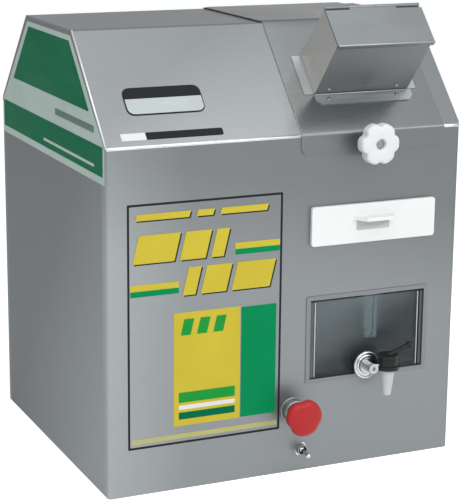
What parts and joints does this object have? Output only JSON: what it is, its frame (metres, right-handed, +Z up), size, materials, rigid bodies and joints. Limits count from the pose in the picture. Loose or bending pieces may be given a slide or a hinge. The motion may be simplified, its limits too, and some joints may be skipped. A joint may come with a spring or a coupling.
{
  "type": "electric sugarcane juicer",
  "caption": "Table-top electric sugarcane juicer: folded steel casing, lidded feed chute on a lift-off roll cover, geared rolls, strainer drawer, juice tank with tap, emergency stop.",
  "frame": {"origin": "middle of the base plate's underside", "axes": "+Z up, front faces -Y, +X to the viewer's right"},
  "size_m": [0.4, 0.4207, 0.4921],
  "materials": {
    "casing_steel": "brushed stainless sheet",
    "chute_steel": "brushed stainless sheet",
    "inner_steel": "mill finish stainless",
    "frame_steel": "dark grey paint",
    "bright_steel": "zinc plated",
    "roll_steel": "turned stainless",
    "gear_steel": "cut and oiled",
    "bronze": "machined bronze",
    "machine_paint": "blue-grey machine paint",
    "copper_core": "varnished laminations",
    "fan_plastic": "moulded",
    "white_plastic": "satin moulded",
    "smoked_clear": "smoked clear",
    "tap_chrome": "polished",
    "tap_black": "moulded",
    "tap_white": "milky moulded",
    "stop_red": "moulded",
    "collar_grey": "moulded",
    "black_rubber": "moulded"
  },
  "bodies": {
    "casing": {"base_plate": "frame_steel", "front_panel": "casing_steel", "left_side_panel": "casing_steel", "right_side_panel": "casing_steel", "rear_panel": "casing_steel", "hood": "casing_steel", "casing_screws": "bright_steel", "cable_gland": "fan_plastic", "window_frame": "casing_steel", "clamp_stud": "bright_steel", "left_cheek": "frame_steel", "right_cheek": "frame_steel", "tie_rods": "bright_steel", "roll_bushes": "bronze", "turn_plate": "inner_steel", "bagasse_slide": "chute_steel", "drawer_rails": "inner_steel", "juice_sump": "inner_steel", "drop_tube": "inner_steel", "tank_shelf": "inner_steel", "estop_collar": "collar_grey", "estop_block": "fan_plastic", "toggle_body": "fan_plastic", "toggle_nut": "bright_steel", "reducer_housing": "machine_paint", "reducer_cover": "machine_paint", "shaft_bearings": "bright_steel", "motor_frame": "machine_paint", "stator": "copper_core", "fan_cowl": "fan_plastic", "motor_bracket": "frame_steel"},
    "cover": {"roll_cover": "casing_steel", "feed_chute": "chute_steel", "chute_strip": "chute_steel", "chute_rivets": "bright_steel", "lid_hinge_pin": "bright_steel"},
    "lid": {"chute_lid": "chute_steel"},
    "knob": {"clamp_knob": "white_plastic"},
    "top_mill_roll": {"top_roll": "roll_steel", "top_gear": "gear_steel", "worm_wheel": "bronze"},
    "front_mill_roll": {"front_roll": "roll_steel", "front_gear": "gear_steel"},
    "rear_mill_roll": {"rear_roll": "roll_steel", "rear_gear": "gear_steel"},
    "motor_rotor": {"worm_shaft": "bright_steel", "rotor_core": "gear_steel", "motor_fan": "fan_plastic"},
    "drawer": {"strainer_drawer": "white_plastic", "strainer_plate": "inner_steel"},
    "tank": {"juice_tank": "smoked_clear", "tap_seal": "black_rubber", "tap_shank": "tap_chrome", "tap_nut": "tap_chrome", "tap_barrel": "tap_black", "tap_spout": "tap_white"},
    "tap_handle": {"tap_lever": "tap_black"},
    "estop_stem": {"estop_plunger": "collar_grey"},
    "estop_button": {"estop_head": "stop_red"},
    "switch_lever": {"toggle_lever": "bright_steel"}
  },
  "joints": [
    {"name": "cover_lift", "type": "slide", "parent": "casing", "child": "cover", "axis": [0, 0, 1], "range_m": [0, 0.12]},
    {"name": "lid_hinge", "type": "hinge", "parent": "cover", "child": "lid", "pos_m": [0.0956, -0.16073, 0.49025], "axis": [-1, 0, 0], "range_deg": [0, 110]},
    {"name": "knob_turn", "type": "hinge", "parent": "casing", "child": "knob", "pos_m": [0.088, -0.189, 0.354], "axis": [0, -1, 0], "continuous": true},
    {"name": "motor_spin", "type": "hinge", "parent": "casing", "child": "motor_rotor", "pos_m": [-0.085, 0.028, 0.22], "axis": [0, 0, 1], "continuous": true},
    {"name": "top_roll_spin", "type": "hinge", "parent": "casing", "child": "top_mill_roll", "pos_m": [0.0955, -0.037, 0.386], "axis": [1, 0, 0], "continuous": true},
    {"name": "front_roll_spin", "type": "hinge", "parent": "casing", "child": "front_mill_roll", "pos_m": [0.0955, -0.079, 0.32752], "axis": [1, 0, 0], "continuous": true},
    {"name": "rear_roll_spin", "type": "hinge", "parent": "casing", "child": "rear_mill_roll", "pos_m": [0.0955, 0.005, 0.32752], "axis": [1, 0, 0], "continuous": true},
    {"name": "drawer_slide", "type": "slide", "parent": "casing", "child": "drawer", "axis": [0, -1, 0], "range_m": [0, 0.18]},
    {"name": "tank_slide", "type": "slide", "parent": "casing", "child": "tank", "axis": [0, -1, 0], "range_m": [0, 0.13]},
    {"name": "tap_turn", "type": "hinge", "parent": "tank", "child": "tap_handle", "pos_m": [0.1067, -0.198, 0.124], "axis": [0, 0, -1], "range_deg": [0, 90]},
    {"name": "estop_press", "type": "slide", "parent": "casing", "child": "estop_stem", "axis": [0, 1, 0], "range_m": [0, 0.005]},
    {"name": "estop_twist", "type": "hinge", "parent": "estop_stem", "child": "estop_button", "pos_m": [0.0065, -0.203, 0.07], "axis": [0, -1, 0], "range_deg": [0, 45], "stiffness_Nm_per_rad": 0.02},
    {"name": "toggle_flip", "type": "hinge", "parent": "casing", "child": "switch_lever", "pos_m": [0.0165, -0.177, 0.025], "axis": [-1, 0, 0], "range_deg": [0, 24]}
  ],
  "couplings": [
    {"joint": "top_roll_spin", "follows": "motor_spin", "ratio": -0.025},
    {"joint": "front_roll_spin", "follows": "motor_spin", "ratio": 0.025},
    {"joint": "rear_roll_spin", "follows": "motor_spin", "ratio": 0.025}
  ]
}
